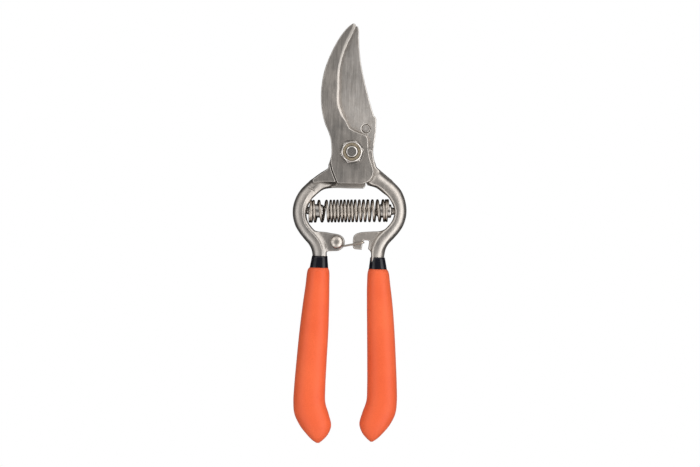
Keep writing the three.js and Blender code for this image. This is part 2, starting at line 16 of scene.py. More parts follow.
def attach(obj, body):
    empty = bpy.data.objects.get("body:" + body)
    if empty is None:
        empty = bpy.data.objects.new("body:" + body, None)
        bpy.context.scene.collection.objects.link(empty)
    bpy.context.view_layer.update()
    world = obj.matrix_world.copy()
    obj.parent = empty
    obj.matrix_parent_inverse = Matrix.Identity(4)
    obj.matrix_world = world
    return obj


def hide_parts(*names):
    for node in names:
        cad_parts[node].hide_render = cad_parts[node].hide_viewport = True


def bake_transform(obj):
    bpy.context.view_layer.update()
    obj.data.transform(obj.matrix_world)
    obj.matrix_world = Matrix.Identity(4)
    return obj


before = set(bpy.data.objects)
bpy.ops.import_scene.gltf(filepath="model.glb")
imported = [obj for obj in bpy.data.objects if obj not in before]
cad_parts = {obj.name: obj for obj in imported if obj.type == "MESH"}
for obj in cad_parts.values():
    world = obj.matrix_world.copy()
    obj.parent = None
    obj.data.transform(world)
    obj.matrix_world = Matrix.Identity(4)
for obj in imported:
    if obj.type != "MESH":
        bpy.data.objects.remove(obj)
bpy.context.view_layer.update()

MM = 0.001

# ---------- driving dimensions, as in the CAD ----------

SHEAR_Z = 8.0            # the plane between the two halves
LAP_GAP = 0.05           # each half stays this far from that plane
BLADE_THICK = 4.0
HOOK_THICK = 5.0
SHANK_HALF = 4.4
EAR_HALF = 2.8
CLEAR = 0.35             # cut between the two halves where one turns past the other
SWING_R = 12.6           # radius around the pivot that the other half's plate needs

LEFT_DROP = 1.3          # the left handle sits this much lower than the right one
LEFT_SHIFT = 0.2
LEFT_SWELL = 0.45        # the left shank is this much fuller on its outer side

BOLT_R = 3.0
HOLE_R = 3.15
BOLT_HEAD_R = 6.0
BOLT_HEAD_Z = 3.0
BOLT_END_Z = 18.6
THREAD_PITCH = 1.0
THREAD_DEPTH = 0.3
THREAD_FROM_Z = 13.0
WASHER_R = 6.2
WASHER_THICK = 0.8
REAR_WASHER_Z = 3.05
FRONT_WASHER_Z = 13.1

NUT_Z = 13.95
NUT_FLATS = 10.2
NUT_HEX_TALL = 3.1
NUT_COLLAR_R = 5.08
NUT_TOP = 18.35
NUT_TURN = math.radians(-18)
NUT_CELL = 0.1           # the nut's own finer grid
INSERT_R = 4.4
INSERT_TALL = 1.3

PIN_AT = (6.8, 12.0)
PIN_R = 2.1
PIN_TALL = 2.9

SPRING_Y = -29.3         # the spring's axis, half-way along
SPRING_SLOPE = 0.035     # it sits a little lower on the left
SPRING_MEAN_R = 5.2
SPRING_WIRE_R = 0.6

PEG_R = 3.4
PEG_TIP_X = 12.6
PEG_FACE_X = 22.3
PEG_TENON_R = 1.5
PEG_TENON = 3.0
PEG_NECK = 1.7

RIVET_AT = (-6.4, -45.0)
RIVET_R = 1.5
RIVET_DOME_R = 3.3
RIVET_DOME_TALL = 2.0
WIRE_R = 0.5
WIRE_Z = 11.75
WIRE_TURN = math.radians(11.6)
WIRE_EYE_R = 2.6
WIRE_EYE_ARC = math.radians(285)
WIRE_STRAIGHT = 12.1     # from the eye to the bend
WIRE_BEND_R = 1.0
WIRE_TIP = 1.9           # from the bend down to the tip

SLEEVE_TOP = -52.2
SLEEVE_END = -135.5
SLEEVE_LIP = 0.4
SLEEVE_THICK = 1.1
GRIP_TOP = -58.1
TANG_END = -132.5
NEST_GAP = 0.1           # between tang, sleeve and grip

# ---------- outlines: each stretch runs on from the end of the one before it ----------

HOOK_BACK = [(-3.9, 62.0), (-8.2, 56.0), (-12.1, 48.0), (-14.8, 40.0), (-16.0, 32.0), (-16.05, 26.0),
             (-15.4, 20.0), (-13.8, 14.0), (-12.0, 10.0), (-10.7, 6.0), (-10.15, 0.5), (-10.3, -4.5)]
HOOK_EDGE = [(-3.5, 16.0), (-5.3, 20.0), (-6.6, 24.0), (-6.95, 28.0), (-6.85, 32.0), (-7.0, 38.0),
             (-6.75, 42.0), (-6.0, 46.0), (-4.95, 50.0), (-3.4, 54.0), (-1.6, 58.0), (0.3, 62.0)]
HOOK_OUTLINE = [
    HOOK_BACK,
    [(-9.8, -8.2), (-8.4, -12.0), (-7.1, -15.0)],
    [(-6.5, -15.7), (-5.2, -15.8)],
    [(6.0, -15.7)],
    [(9.0, -14.3), (10.8, -11.4), (11.1, -9.0), (10.4, -6.2)],
    [(9.4, -3.6), (8.5, 0.0), (8.05, 4.0), (7.8, 7.0)],
    [(7.0, 8.3), (4.5, 9.3), (1.0, 10.5), (-1.5, 12.0)],
    HOOK_EDGE,
    [(0.45, 63.2), (-0.2, 64.1), (-1.1, 64.3)],
]

BLADE_EDGE = [(-6.6, 15.0), (-8.0, 19.0), (-9.2, 23.5), (-9.9, 29.0), (-10.0, 34.0), (-9.6, 40.0),
              (-8.6, 45.5), (-7.0, 50.5), (-4.6, 55.5), (-2.0, 59.5), (0.2, 62.6)]
BLADE_OUTLINE = [
    [(1.9, 61.6), (2.1, 58.0), (2.5, 51.5), (3.3, 45.5), (4.4, 40.0), (6.3, 32.5), (8.5, 25.0),
     (9.9, 20.5), (10.6, 18.6)],
    [(11.4, 18.0), (11.85, 16.8)],
    [(11.8, 12.0), (11.5, 8.0), (10.9, 3.0), (10.6, -0.5)],
    [(10.3, -5.6), (8.5, -8.5), (6.6, -10.6)],
    [(6.9, -13.0), (7.3, -16.7)],
    [(6.2, -17.9)],
    [(-1.0, -18.0), (-8.0, -18.0), (-13.4, -18.5), (-16.1, -19.9), (-18.8, -22.4)],
    [(-22.0, -19.0), (-20.4, -15.0)],
    [(-16.0, -11.6), (-12.0, -8.7), (-11.3, -7.8), (-11.4, -6.4), (-10.8, -4.2), (-10.0, -1.0),
     (-9.6, 3.0), (-8.4, 7.5), (-6.1, 12.0)],
    BLADE_EDGE,
    [(0.7, 63.2), (1.2, 63.2)],
]

# The web that stands up beside the hook's plate on the left half.
WEB_OUTLINE = [
    [(-11.4, -6.6)],
    [(-11.3, -7.8), (-12.0, -8.7), (-16.0, -11.6), (-20.4, -15.0)],
    [(-20.0, -18.0)],
    [(-18.6, -17.2)],
    [(-14.0, -16.6), (-7.4, -16.5)],
    [(-5.0, -12.0)],
    [(-9.0, -5.0)],
]

# The lower edge of that web, which is a slanting wall.
WEB_FOOT = [(-20.6, -14.8), (-20.2, -16.6), (-18.6, -17.2), (-14.0, -16.6), (-7.4, -16.5), (-5.0, -16.4)]
WEB_FOOT_Z = 9.0
WEB_TOP = 12.6

# The crown of the left shank stops at this crease, below the web.
CROWN_END = [(-24.6, -16.6), (-21.4, -18.2), (-18.6, -19.6)]
CREASE_Z = 11.8          # the bottom of that crease

# Its fellow on the back of the right half.
REAR_WEB_OUTLINE = [
    [(11.6, -5.2)],
    [(12.4, -7.4), (14.0, -8.9), (18.0, -12.1), (20.0, -13.8)],
    [(18.6, -20.6)],
    [(16.4, -19.6), (14.0, -17.9), (12.0, -16.8), (8.2, -16.2)],
    [(7.6, -13.0)],
    [(7.2, -10.4)],
]

LEDGE_OUTLINE = [
    [(8.0, 2.2)],
    [(10.5, 1.0), (10.7, -0.4), (10.95, -2.0), (11.4, -4.0), (12.4, -7.4)],
    [(14.0, -8.9)],
    [(11.5, -14.0)],
    [(8.6, -6.0)],
]

RIGHT_EAR_OUTLINE = [
    [(16.8, -39.0)],
    [(10.0, -39.4), (5.4, -39.9), (3.0, -40.8), (2.0, -42.0), (1.7, -43.6)],
    [(1.7, -47.0)],
    [(2.1, -48.0), (3.1, -48.4)],
    [(6.2, -48.5)],
    [(6.6, -44.6)],
    [(7.2, -43.9), (8.3, -43.8), (9.4, -43.9), (9.9, -44.4)],
    [(9.4, -48.2)],
    [(11.4, -49.4)],
    [(15.0, -49.0)],
    [(19.0, -42.0)],
]

LEFT_EAR_OUTLINE = [
    [(-16.6, -40.0)],
    [(-12.6, -40.15), (-8.6, -40.75), (-5.6, -41.2), (-3.3, -42.5), (-2.3, -44.8), (-2.9, -47.3),
     (-5.2, -49.3), (-8.0, -49.6)],
    [(-11.8, -49.8)],
    [(-15.0, -50.0)],
    [(-19.5, -43.0)],
]

# Stations down the right-hand shank: outer x, y, inner x, y, middle z, half depth.
SHANK_STATIONS = [
    (11.2, -6.0, 7.6, -14.4, SHEAR_Z + 1.4, 1.0),
    (14.7, -9.2, 9.9, -16.1, SHEAR_Z + 1.0, 3.2),
    (18.1, -12.0, 13.4, -17.3, SHEAR_Z + 0.2, 4.1),
    (21.9, -14.9, 16.6, -19.8, SHEAR_Z, SHANK_HALF),
    (25.05, -18.3, 19.2, -22.4, SHEAR_Z, SHANK_HALF),
    (27.0, -22.3, 21.0, -25.4, SHEAR_Z, SHANK_HALF),
    (27.95, -26.2, 21.9, -27.9, SHEAR_Z, SHANK_HALF),
    (28.15, -29.3, 22.1, -29.6, SHEAR_Z, SHANK_HALF),
    (27.8, -32.4, 21.8, -31.7, SHEAR_Z, SHANK_HALF),
    (26.6, -36.15, 20.9, -34.0, SHEAR_Z, SHANK_HALF),
    (24.45, -39.65, 18.8, -36.8, SHEAR_Z, SHANK_HALF),
    (21.85, -42.8, 16.2, -39.3, SHEAR_Z, SHANK_HALF),
    (19.6, -45.3, 13.4, -42.6, SHEAR_Z, SHANK_HALF),
    (18.2, -48.0, 11.6, -46.4, SHEAR_Z, SHANK_HALF),
    (17.7, -50.6, 11.0, -50.2, SHEAR_Z, SHANK_HALF),
]

# How wide the low flange along the inner side of the shank is at each station.
FLANGE_WIDTHS = [2.6, 2.6, 2.5, 2.4, 2.2, 1.9, 1.6, 1.4, 1.3, 1.3, 1.3, 1.3, 1.4, 1.6, 1.8]
FLANGE_TALL = 3.35       # its rim above the shank's middle
FLANGE_CLIMB = 0.38      # how it slopes up from the rim to the crown's wall
WALL_LEAN = 0.55         # how that wall leans back
FLANGE_REACH = 0.45      # the left flange is this much fuller beside the spring
CROWN_ROUND = 4.8        # edge rounds of the shank: flanged face and smooth face, outer and inner
FLANGE_ROUND = 1.0
FACE_ROUND = 5.0
INNER_ROUND = 1.6

# Edge rounds of the two plates, and the depth of the hook's chamfer for its width.
HOOK_ROUND = 0.45
BLADE_ROUND = 0.35
CHAMFER_DEPTH = 0.56
BLUNT = 0.25             # what stays of the blade's thickness at its ground edge
JAW_THINNING = 0.5       # how much thinner the jaws are at their tips
JAW_LENGTH = 51.0        # from the blade's heel to its tip
HEEL_Y = 12.0
CUT_ROUND = 0.25         # edges of holes
LAP_ROUND = 0.5          # edges where the left half makes room for the hook's plate

# Rows down the tang and the grip: y, inner x, outer x, half depth.
TANG_ROWS = [
    (-53.0, 11.0, 17.5, 4.4), (-60.0, 11.0, 18.3, 4.5), (-72.0, 11.4, 19.6, 4.8),
    (-86.0, 12.0, 20.6, 5.0), (-102.0, 12.8, 21.4, 5.0), (-118.0, 13.4, 21.8, 4.8),
    (-127.0, 12.8, 20.6, 4.2), (TANG_END, 12.0, 18.4, 3.4),
]
GRIP_ROWS = [
    (GRIP_TOP, 10.3, 19.1, 6.0), (-59.2, 9.6, 19.9, 6.7), (-66.0, 9.3, 21.0, 7.3),
    (-76.0, 9.5, 22.4, 7.8), (-88.0, 9.9, 23.6, 8.0), (-104.0, 10.4, 24.8, 8.0),
    (-117.0, 10.7, 25.6, 8.0), (-124.0, 10.5, 25.8, 8.0), (-130.0, 8.6, 25.2, 7.7),
    (-135.5, 7.3, 22.7, 7.0), (-140.0, 8.8, 19.2, 5.6), (-142.8, 11.2, 16.4, 3.9),
    (-144.3, 13.0, 14.2, 1.6),
]

# Where the coils cross the front of the spring, from left to right.
COIL_XS = [-20.2, -19.5, -18.0, -14.9, -11.3, -9.5, -7.8, -6.1, -4.3, -2.6, -0.8, 0.9, 2.8, 4.9, 7.0,
           9.2, 11.5, 14.1, 16.7, 18.0, 18.8]

# ---------- curves ----------


def smooth_line(points, step):
    """A centripetal Catmull-Rom curve through the points, sampled about a step apart."""
    known = np.array(points, float)
    known = np.vstack([2 * known[0] - known[1], known, 2 * known[-1] - known[-2]])
    line = []
    for a, b, c, d in zip(known, known[1:], known[2:], known[3:]):
        before = np.linalg.norm(b - a) ** 0.5
        here = np.linalg.norm(c - b) ** 0.5
        after = np.linalg.norm(d - c) ** 0.5
        leave = ((b - a) / before - (c - a) / (before + here) + (c - b) / here) * here
        arrive = ((c - b) / here - (d - b) / (here + after) + (d - c) / after) * here
        count = max(1, math.ceil(here * here / step))
        for t in np.arange(count) / count:
            curve = (2 * b - 2 * c + leave + arrive) * t**3
            line.append(curve + (3 * c - 3 * b - 2 * leave - arrive) * t * t + leave * t + b)
    line.append(known[-2])
    return np.array(line)


def trace(stretches, step=0.7):
    """A closed outline: one point makes a straight edge, more make a smooth curve."""
    outline = []
    start = stretches[-1][-1]
    for stretch in stretches:
        points = [start, *stretch]
        line = smooth_line(points, step) if len(points) > 2 else np.array(points, float)
        outline.append(line[:-1])
        start = points[-1]
    return np.vstack(outline)


def turn_over(points):
    """Right-hand points turned over to the left: x and z are mirrored, and y drops."""
    return points * (-1, 1, -1) + (-LEFT_SHIFT, -LEFT_DROP, 2 * SHEAR_Z)


def left_swell(y):
    """How much fuller the left handle is on its outer side, from the loop's waist to the grip's top."""
    return LEFT_SWELL * smooth_step(-y, 19, 25) * (1 - smooth_step(-y, 54, 80))


# ---------- fields of distance, negative inside ----------


def soft_min(a, b, width):
    """The union of two fields with a fillet about as wide as width."""
    near = np.maximum(width - np.abs(a - b), 0) / width
    return np.minimum(a, b) - near * near * width / 4


def soft_max(a, b, width):
    """The overlap of two fields with a round edge about as wide as width."""
    return -soft_min(-a, -b, width)


def smooth_step(value, low, high):
    t = np.clip((value - low) / (high - low), 0, 1)
    return t * t * (3 - 2 * t)


class Grid:
    """A grid of points in millimetres. Plan distances are worked out once for each column."""

    def __init__(self, xs, ys, zs):
        self.xs, self.ys, self.zs = xs, ys, zs
        self.x, self.y = (plane[..., None] for plane in np.meshgrid(xs, ys, indexing="ij"))
        self.z = zs[None, None, :]

    def reach(self, line):
        """Distance in plan from an open line."""
        x, y = self.x[..., 0], self.y[..., 0]
        least = np.full(x.shape, 1e9)
        for (ax, ay), (bx, by) in zip(line[:-1], line[1:]):
            ex, ey = bx - ax, by - ay
            t = np.clip(((x - ax) * ex + (y - ay) * ey) / (ex * ex + ey * ey), 0, 1)
            np.minimum(least, (x - ax - ex * t) ** 2 + (y - ay - ey * t) ** 2, out=least)
        return np.sqrt(least)[..., None]

    def plan(self, outline):
        """Signed distance in plan from a closed outline."""
        closed = np.vstack([outline, outline[:1]])
        x, y = self.x[..., 0], self.y[..., 0]
        inside = np.zeros(x.shape, bool)
        for (ax, ay), (bx, by) in zip(closed[:-1], closed[1:]):
            if ay == by:
                continue
            crossing = (ay > y) != (by > y)
            inside ^= crossing & (x < ax + (y - ay) * (bx - ax) / (by - ay))
        return self.reach(closed) * np.where(inside, -1, 1)[..., None]

    def between(self, low, high):
        return np.maximum(low - self.z, self.z - high)

    def slab(self, outline, low, high, edge=0.5):
        return soft_max(self.plan(outline), self.between(low, high), edge)

    def rod(self, radius, low, high, at=(0, 0)):
        return np.maximum(np.hypot(self.x - at[0], self.y - at[1]) - radius, self.between(low, high))


def surface_net(grid, field):
    """Quads over the zero level of a field on a grid. Returns points and quads."""
    inside = field < 0
    corners = [(i, j, k) for i in (0, 1) for j in (0, 1) for k in (0, 1)]
    sizes = tuple(n - 1 for n in field.shape)

    def corner(values, place):
        return values[tuple(slice(start, start + size) for start, size in zip(place, sizes))]

    count = sum(corner(inside, place).astype(np.int8) for place in corners)
    cells = np.argwhere((count > 0) & (count < 8))
    number = np.full(sizes, -1)
    number[tuple(cells.T)] = np.arange(len(cells))
    axes = (grid.xs, grid.ys, grid.zs)

    def at(place):
        spots = cells + place
        return np.stack([axis[spots[:, i]] for i, axis in enumerate(axes)], 1), field[tuple(spots.T)]

    total = np.zeros((len(cells), 3))
    crossings = np.zeros(len(cells))
    for place in corners:
        for axis in range(3):
            if place[axis]:
                continue
            far = tuple(1 if i == axis else n for i, n in enumerate(place))
            (here, a), (there, b) = at(place), at(far)
            crossed = (a < 0) != (b < 0)
            share = np.where(crossed, a / np.where(crossed, a - b, 1), 0)[:, None]
            total += np.where(crossed[:, None], here + (there - here) * share, 0)
            crossings += crossed
    points = total / crossings[:, None]

    quads = []
    for axis in range(3):
        along, across = (axis + 1) % 3, (axis + 2) % 3
        low = tuple(slice(0, -1) if i == axis else slice(1, -1) for i in range(3))
        high = tuple(slice(1, None) if i == axis else slice(1, -1) for i in range(3))
        edges = np.argwhere(inside[low] != inside[high]) + [0 if i == axis else 1 for i in range(3)]
        outward = inside[tuple(edges.T)]
        ring = []
        for back_along, back_across in ((1, 1), (0, 1), (0, 0), (1, 0)):
            cell = edges.copy()
            cell[:, along] -= back_along
            cell[:, across] -= back_across
            ring.append(number[tuple(cell.T)])
        ring = np.stack(ring, 1)
        quads.append(np.where(outward[:, None], ring, ring[:, ::-1]))
    return points, np.vstack(quads)


# ---------- meshes ----------


def mark_wear(mesh):
    """Stores how sharply each vertex bends outwards: above 0 on edges, below 0 in hollows."""
    size = len(mesh.vertices)
    place, normal = np.zeros(size * 3), np.zeros(size * 3)
    mesh.vertices.foreach_get("co", place)
    mesh.vertices.foreach_get("normal", normal)
    place, normal = place.reshape(-1, 3), normal.reshape(-1, 3)
    ends = np.zeros(len(mesh.edges) * 2, int)
    mesh.edges.foreach_get("vertices", ends)
    a, b = ends.reshape(-1, 2).T
    step = place[b] - place[a]
    bend = ((normal[b] - normal[a]) * step).sum(1) / np.maximum((step * step).sum(1), 1e-12)
    total = np.bincount(a, bend, size) + np.bincount(b, bend, size)
    share = np.maximum(np.bincount(a, minlength=size) + np.bincount(b, minlength=size), 1)
    value = total / share * MM
    for _ in range(2):
        spread = np.bincount(a, value[b], size) + np.bincount(b, value[a], size)
        value = 0.5 * value + 0.5 * spread / share
    wear = mesh.attributes.new("wear", "FLOAT", "POINT")
    wear.data.foreach_set("value", value.astype(np.float32))


def make(name, points, faces, material, node, body=None):
    """A smooth mesh piece from points in millimetres, standing for a CAD node."""
    mesh = bpy.data.meshes.new(name)
    mesh.from_pydata((np.asarray(points) * MM).tolist(), [], [list(map(int, f)) for f in faces])
    mesh.update()
    mesh.shade_smooth()
    mark_wear(mesh)
    piece = bpy.data.objects.new(name, mesh)
    bpy.context.scene.collection.objects.link(piece)
    mesh.materials.append(material)
    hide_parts(node)
    if body:
        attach(piece, body)
    return piece


def skin(rings, closed=False):
    """Faces over rings with the same number of points; capped unless the rings close on themselves."""
    size = len(rings[0])
    points = np.vstack(rings)
    faces = []
    for r in range(len(rings) if closed else len(rings) - 1):
        here, there = r * size, (r + 1) % len(rings) * size
        for i in range(size):
            j = (i + 1) % size
            faces.append((here + i, here + j, there + j, there + i))
    if not closed:
        faces.append(tuple(range(size))[::-1])
        faces.append(tuple(range(len(points) - size, len(points))))
    return points, outward(points, faces)


def outward(points, faces):
    """The faces turned so that they all look out."""
    volume = 0
    for face in faces:
        a = points[face[0]]
        for b, c in zip(face[1:-1], face[2:]):
            volume += np.dot(a, np.cross(points[b], points[c]))
    return faces if volume > 0 else [tuple(reversed(face)) for face in faces]


def turned(profile, at=(0, 0), sides=64):
    """A lathe shape about +Z. The profile is a list of radius and height."""
    angles = 2 * math.pi * np.arange(sides) / sides
    rings = []
    for radius, z in profile:
        radius = max(radius, 1e-3)
        rings.append(np.stack([at[0] + radius * np.cos(angles), at[1] + radius * np.sin(angles),
                               np.full(sides, z)], 1))
    return rings


def rounded(profile, radius, steps=4):
    """The profile with each of its inner corners rounded."""
    points = [np.array(p, float) for p in profile]
    out = [points[0]]
    for a, b, c in zip(points, points[1:], points[2:]):
        reach = min(radius, np.linalg.norm(a - b) / 2.01, np.linalg.norm(c - b) / 2.01)
        start = b + (a - b) / np.linalg.norm(a - b) * reach
        end = b + (c - b) / np.linalg.norm(c - b) * reach
        for t in np.linspace(0, 1, steps + 1):
            out.append((1 - t) ** 2 * start + 2 * t * (1 - t) * b + t * t * end)
    out.append(points[-1])
    return out


def tube(path, radius, sides=14, taper=None):
    """Rings of a round wire along a path. Its frame is carried along without twisting."""
    path = np.asarray(path, float)
    tangent = np.gradient(path, axis=0)
    tangent /= np.linalg.norm(tangent, axis=1)[:, None]
    side = np.cross(tangent[0], (0, 0, 1.0))
    if np.linalg.norm(side) < 1e-3:
        side = np.array((1.0, 0, 0))
    rings = []
    angles = 2 * math.pi * np.arange(sides) / sides
    for i, (point, along) in enumerate(zip(path, tangent)):
        side = side - along * np.dot(side, along)
        side /= np.linalg.norm(side)
        up = np.cross(along, side)
        r = radius if taper is None else radius * taper[i]
        rings.append(point + r * (np.outer(np.cos(angles), side) + np.outer(np.sin(angles), up)))
    return rings


def round_ends(count, steps=4):
    """Radius factors that close a wire's two ends in small domes."""
    factors = np.ones(count)
    for i in range(steps):
        value = math.sqrt(1 - ((steps - i) / (steps + 0.35)) ** 2)
        factors[i] = factors[-1 - i] = value
    return factors


# ---------- materials ----------


class Paint:
    """A node material with short calls for its nodes."""

    def __init__(self, name):
        self.material = bpy.data.materials.new(name)
        self.material.use_nodes = True
        self.tree = self.material.node_tree
        self.shader = self.tree.nodes["Principled BSDF"]
        self.place = self.node("ShaderNodeTexCoord").outputs["Object"]

    def node(self, kind, links=None, **settings):
        node = self.tree.nodes.new(kind)
        for key, value in settings.items():
            setattr(node, key, value)
        for key, value in (links or {}).items():
            self.plug(node.inputs[key], value)
        return node

    def plug(self, socket, value):
        if isinstance(value, bpy.types.NodeSocket):
            self.tree.links.new(value, socket)
        else:
            socket.default_value = value

    def noise(self, scale, detail=3.0, stretch=(1, 1, 1), turn=0.0, rough=0.55):
        mapping = self.node("ShaderNodeMapping", {"Vector": self.place, "Scale": stretch,
                                                  "Rotation": (0, 0, turn)})
        noise = self.node("ShaderNodeTexNoise", {"Vector": mapping.outputs["Vector"], "Scale": scale,
                                                 "Detail": detail, "Roughness": rough})
        return noise.outputs["Fac"]

    def map(self, value, low, high, to_low, to_high):
        ramp = self.node("ShaderNodeMapRange", {"Value": value, "From Min": low, "From Max": high,
                                                "To Min": to_low, "To Max": to_high})
        return ramp.outputs["Result"]

    def math(self, operation, a, b):
        return self.node("ShaderNodeMath", {0: a, 1: b}, operation=operation).outputs["Value"]

    def mix(self, share, a, b):
        mix = self.node("ShaderNodeMix", data_type="RGBA")
        for socket, value in ((mix.inputs[0], share), (mix.inputs[6], a), (mix.inputs[7], b)):
            self.plug(socket, value)
        return mix.outputs[2]

    def wear(self):
        return self.node("ShaderNodeAttribute", attribute_name="wear").outputs["Fac"]

    def bump(self, height, distance, strength=1.0, under=None):
        links = {"Height": height, "Distance": distance, "Strength": strength}
        if under is not None:
            links["Normal"] = under
        return self.node("ShaderNodeBump", links).outputs["Normal"]

    def finish(self, **inputs):
        for key, value in inputs.items():
            self.plug(self.shader.inputs[key.replace("_", " ")], value)
        return self.material


def grey(level, warmth=0.0):
    return (level * (1 + warmth), level, level * (1 - warmth), 1)


def steel(name, level, warmth, rough, grain=(1, 1, 1), turn=0.0, edge=0.1, hollow_dark=0.5, jaw=0.0, web=0.0):
    """Satin steel: fine brushed grain, cloudy tone, worn bright edges, hollows made rougher and darker,
    and duller towards the tips of the jaws. The jaw above the pivot may have a level of its own,
    and the web left of the pivot is made darker by a given share."""
    paint = Paint(name)
    cloud = paint.noise(70, 5, rough=0.6)
    patch = paint.noise(420, 4, rough=0.65)
    brush = paint.noise(1500, 2, grain, turn)
    wear = paint.wear()
    worn = paint.map(wear, 0.12, 0.9, 0, 1)
    hollow = paint.map(wear, -0.04, -0.4, 0, 1)
    dim, bright = grey(level * 0.9, warmth), grey(level * 1.08, warmth * 1.5)
    tone = paint.mix(paint.map(cloud, 0.35, 0.68, 0, 1), dim, bright)
    tone = paint.mix(paint.map(patch, 0.3, 0.75, 0, 0.5), tone, grey(level * 0.84, warmth * 1.2))
    x, y = paint.node("ShaderNodeSeparateXYZ", {0: paint.place}).outputs[:2]
    if jaw:
        dim, bright = grey(jaw * 0.86, warmth * 1.4), grey(jaw, warmth)
        ground = paint.mix(paint.map(patch, 0.35, 0.7, 0, 1), bright, dim)
        tone = paint.mix(paint.map(y, -0.008, 0.004, 0, 1), tone, ground)
    tone = paint.mix(paint.map(y, 0.02, 0.055, 0, 0.26), tone, grey(0.0))
    # darker over the web left of the pivot, by the share given as web
    if web:
        left, high = paint.map(x, -0.0065, -0.009, 0, web), paint.map(y, -0.021, -0.018, 0, 1)
        tone = paint.mix(paint.math("MULTIPLY", left, high), tone, grey(0.0))
    tone = paint.mix(paint.math("MULTIPLY", worn, edge), tone, grey(min(level * 1.5, 0.9), warmth * 0.6))
    # darker in hollows, by the share given as hollow_dark
    tone = paint.mix(paint.math("MULTIPLY", hollow, hollow_dark), tone, grey(level * 0.35, warmth * 2))
    dull = paint.math("ADD", paint.map(cloud, 0.3, 0.7, rough - 0.05, rough + 0.05),
                      paint.map(brush, 0.3, 0.7, -0.05, 0.06))
    dull = paint.math("SUBTRACT", dull, paint.math("MULTIPLY", worn, 0.1))
    dull = paint.math("ADD", dull, paint.math("MULTIPLY", hollow, 0.15))
    fine = paint.bump(brush, 0.000012)
    relief = paint.bump(patch, 0.00003, 0.7, fine)
    return paint.finish(Base_Color=tone, Roughness=dull, Metallic=1.0, Normal=relief)


def vinyl_matte(name, seed_turn):
    """Matte dipped vinyl: fine pebble grain, faint mottling and a slight swell."""
    paint = Paint(name)
    cloud = paint.noise(38, 4, turn=seed_turn)
    pebble = paint.noise(2600, 2)
    swell = paint.noise(240, 3)
    tone = paint.mix(paint.map(cloud, 0.3, 0.7, 0, 1), (0.8, 0.098, 0.018, 1), (0.88, 0.135, 0.032, 1))
    tone = paint.mix(paint.map(pebble, 0.35, 0.65, 0, 0.25), tone, (0.62, 0.066, 0.012, 1))
    dull = paint.math("ADD", paint.map(cloud, 0.3, 0.7, 0.5, 0.6), paint.map(pebble, 0.3, 0.7, -0.05, 0.08))
    grain = paint.bump(pebble, 0.00005, 0.6)
    relief = paint.bump(swell, 0.00012, 0.5, grain)
    return paint.finish(Base_Color=tone, Roughness=dull, Normal=relief, Sheen_Weight=0.15,
                        Sheen_Roughness=0.5)


def vinyl_gloss(name):
    """Glossy black under-coat, with the slight waviness of a dipped film."""
    paint = Paint(name)
    wave = paint.noise(190, 2)
    dust = paint.noise(2200, 3)
    tone = paint.mix(paint.map(dust, 0.55, 0.8, 0, 0.5), (0.004, 0.004, 0.008, 1), (0.014, 0.014, 0.022, 1))
    dull = paint.math("ADD", paint.map(wave, 0.3, 0.7, 0.1, 0.17), paint.map(dust, 0.5, 0.8, 0, 0.12))
    relief = paint.bump(wave, 0.00012, 0.6)
    return paint.finish(Base_Color=tone, Roughness=dull, Normal=relief, Specular_IOR_Level=0.3,
                        Coat_Weight=0.15, Coat_Roughness=0.08)


def nylon(name):
    """Milky nylon, stained by oil."""
    paint = Paint(name)
    stain = paint.noise(700, 4)
    tone = paint.mix(paint.map(stain, 0.35, 0.7, 0, 1), (0.27, 0.225, 0.155, 1), (0.15, 0.12, 0.08, 1))
    return paint.finish(Base_Color=tone, Roughness=paint.map(stain, 0.3, 0.7, 0.42, 0.6),
                        Normal=paint.bump(stain, 0.00004))


# ---------- the two forged halves ----------


def jaw_taper(grid):
    """Jaws get thinner towards their tips."""
    return 1 - JAW_THINNING * smooth_step(grid.y, 14, 66)


def along_line(grid, middle):
    """For each column, where it lies along a line of points, as a fractional index."""
    way = np.gradient(middle, axis=0)
    step = np.linalg.norm(way, axis=1)
    x, y = grid.x[..., 0], grid.y[..., 0]
    near = np.full(x.shape, 1e9)
    place = np.zeros(x.shape)
    for i, (point, along) in enumerate(zip(middle, way)):
        dx, dy = x - point[0], y - point[1]
        distance = dx * dx + dy * dy
        closer = distance < near
        near[closer] = distance[closer]
        ahead = np.clip((dx * along[0] + dy * along[1]) / step[i] ** 2, -0.6, 0.6)
        place[closer] = (i + ahead)[closer]
    return place


